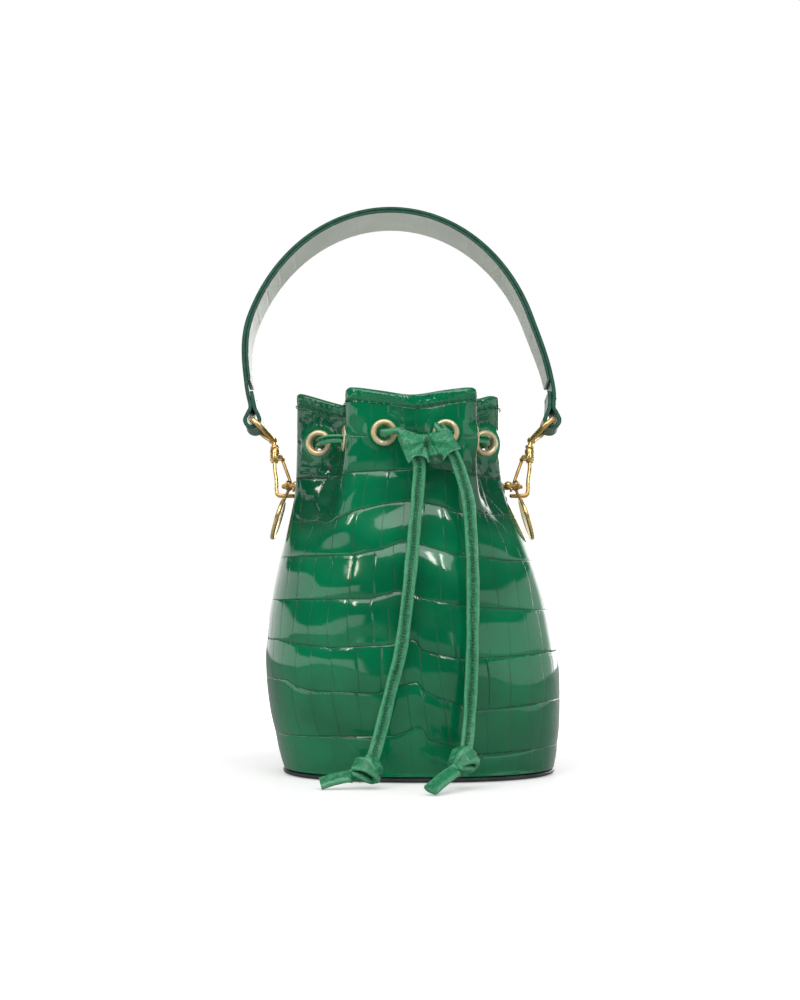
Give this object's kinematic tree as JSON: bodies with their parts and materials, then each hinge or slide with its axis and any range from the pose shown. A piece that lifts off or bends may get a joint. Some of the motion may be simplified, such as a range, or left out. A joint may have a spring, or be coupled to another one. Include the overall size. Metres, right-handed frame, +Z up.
{
  "type": "drawstring bucket bag",
  "caption": "Small oval bucket bag of glossy embossed leather, its neck gathered by a drawstring through eyelets, with a slider, an arched handle on snap hooks, and pendants on side rings.",
  "frame": {"origin": "middle of the oval base on the surface that the bag stands on", "axes": "+Z up, -Y towards the front with the slider and the cord ends, +X to the right seen from the front"},
  "size_m": [0.1576, 0.1557, 0.2839],
  "materials": {
    "body_leather": "emerald green patent leather with a deep crocodile emboss",
    "cord_leather": "green pebbled leather strip folded into a flat round cord, satin",
    "strap_leather": "green leather strap with a smooth painted dark green edge",
    "strap_lining": "pale sage smooth leather, satin",
    "base_leather": "charcoal green smooth leather with painted edge",
    "board": "stiff grey board",
    "lining_fabric": "sand coloured woven cotton lining",
    "gold_metal": "polished pale gold plated metal"
  },
  "bodies": {
    "bag": {"front_panel": "body_leather", "back_panel": "body_leather", "base_panel": "base_leather", "base_board": "board", "lining": "lining_fabric", "eyelet_01": "gold_metal", "eyelet_02": "gold_metal", "eyelet_03": "gold_metal", "eyelet_04": "gold_metal", "eyelet_05": "gold_metal", "eyelet_06": "gold_metal", "eyelet_07": "gold_metal", "eyelet_08": "gold_metal", "eyelet_09": "gold_metal", "eyelet_10": "gold_metal", "eyelet_11": "gold_metal", "eyelet_12": "gold_metal", "washer_01": "gold_metal", "washer_02": "gold_metal", "washer_03": "gold_metal", "washer_04": "gold_metal", "washer_05": "gold_metal", "washer_06": "gold_metal", "washer_07": "gold_metal", "washer_08": "gold_metal", "washer_09": "gold_metal", "washer_10": "gold_metal", "washer_11": "gold_metal", "washer_12": "gold_metal", "drawstring_loop": "cord_leather", "anchor_left": "body_leather", "anchor_right": "body_leather", "knot_left": "cord_leather", "knot_right": "cord_leather"},
    "slider": {"slider": "cord_leather", "cord_entry_left": "cord_leather", "cord_entry_right": "cord_leather", "tail_left": "cord_leather", "tail_right": "cord_leather"},
    "handle": {"handle_strap": "strap_leather", "handle_lining": "strap_lining", "swivel_eye_left": "gold_metal", "swivel_eye_right": "gold_metal"},
    "hook_left": {"hook_left": "gold_metal"},
    "gate_left": {"gate_left": "gold_metal"},
    "ring_left": {"ring_left": "gold_metal"},
    "medallion_left": {"medallion_left": "gold_metal"},
    "hook_right": {"hook_right": "gold_metal"},
    "gate_right": {"gate_right": "gold_metal"},
    "ring_right": {"ring_right": "gold_metal"},
    "medallion_right": {"medallion_right": "gold_metal"}
  },
  "joints": [
    {"name": "handle_swing", "type": "hinge", "parent": "bag", "child": "handle", "pos_m": [-0.00819, 0, 0.1375], "axis": [1, 0, 0], "range_deg": [-25, 60]},
    {"name": "hook_left_swivel", "type": "hinge", "parent": "handle", "child": "hook_left", "pos_m": [-0.07087, 0.00435, 0.15373], "axis": [0, 0.2588, 0.9659], "range_deg": [-5, 5]},
    {"name": "gate_left_open", "type": "hinge", "parent": "hook_left", "child": "gate_left", "pos_m": [-0.06727, 0.00373, 0.15141], "axis": [0, 0.9659, -0.2588], "range_deg": [0, 4], "stiffness_Nm_per_rad": 0.004, "springref_deg": -17.19},
    {"name": "ring_left_tilt", "type": "hinge", "parent": "bag", "child": "ring_left", "pos_m": [-0.05117, 0, 0.1375], "axis": [0, 1, 0], "range_deg": [-2, 3]},
    {"name": "medallion_left_swing", "type": "hinge", "parent": "ring_left", "child": "medallion_left", "pos_m": [-0.06329, -0.00591, 0.1375], "axis": [-0.788, 0.6157, 0], "range_deg": [0, 30]},
    {"name": "hook_right_swivel", "type": "hinge", "parent": "handle", "child": "hook_right", "pos_m": [0.0545, 0.00435, 0.15373], "axis": [0, 0.2588, 0.9659], "range_deg": [-5, 5]},
    {"name": "gate_right_open", "type": "hinge", "parent": "hook_right", "child": "gate_right", "pos_m": [0.0509, 0.00373, 0.15141], "axis": [0, -0.9659, 0.2588], "range_deg": [0, 4], "stiffness_Nm_per_rad": 0.004, "springref_deg": -17.19},
    {"name": "ring_right_tilt", "type": "hinge", "parent": "bag", "child": "ring_right", "pos_m": [0.0348, 0, 0.1375], "axis": [0, -1, 0], "range_deg": [-2, 3]},
    {"name": "medallion_right_swing", "type": "hinge", "parent": "ring_right", "child": "medallion_right", "pos_m": [0.04691, -0.00591, 0.1375], "axis": [-0.788, -0.6157, 0], "range_deg": [0, 30]},
    {"name": "slider_slide", "type": "slide", "parent": "bag", "child": "slider", "axis": [0.05, -0.25, -0.967], "range_m": [0, 0.018], "deforming": ["tail_left", "tail_right", "cord_entry_left", "cord_entry_right"]}
  ]
}
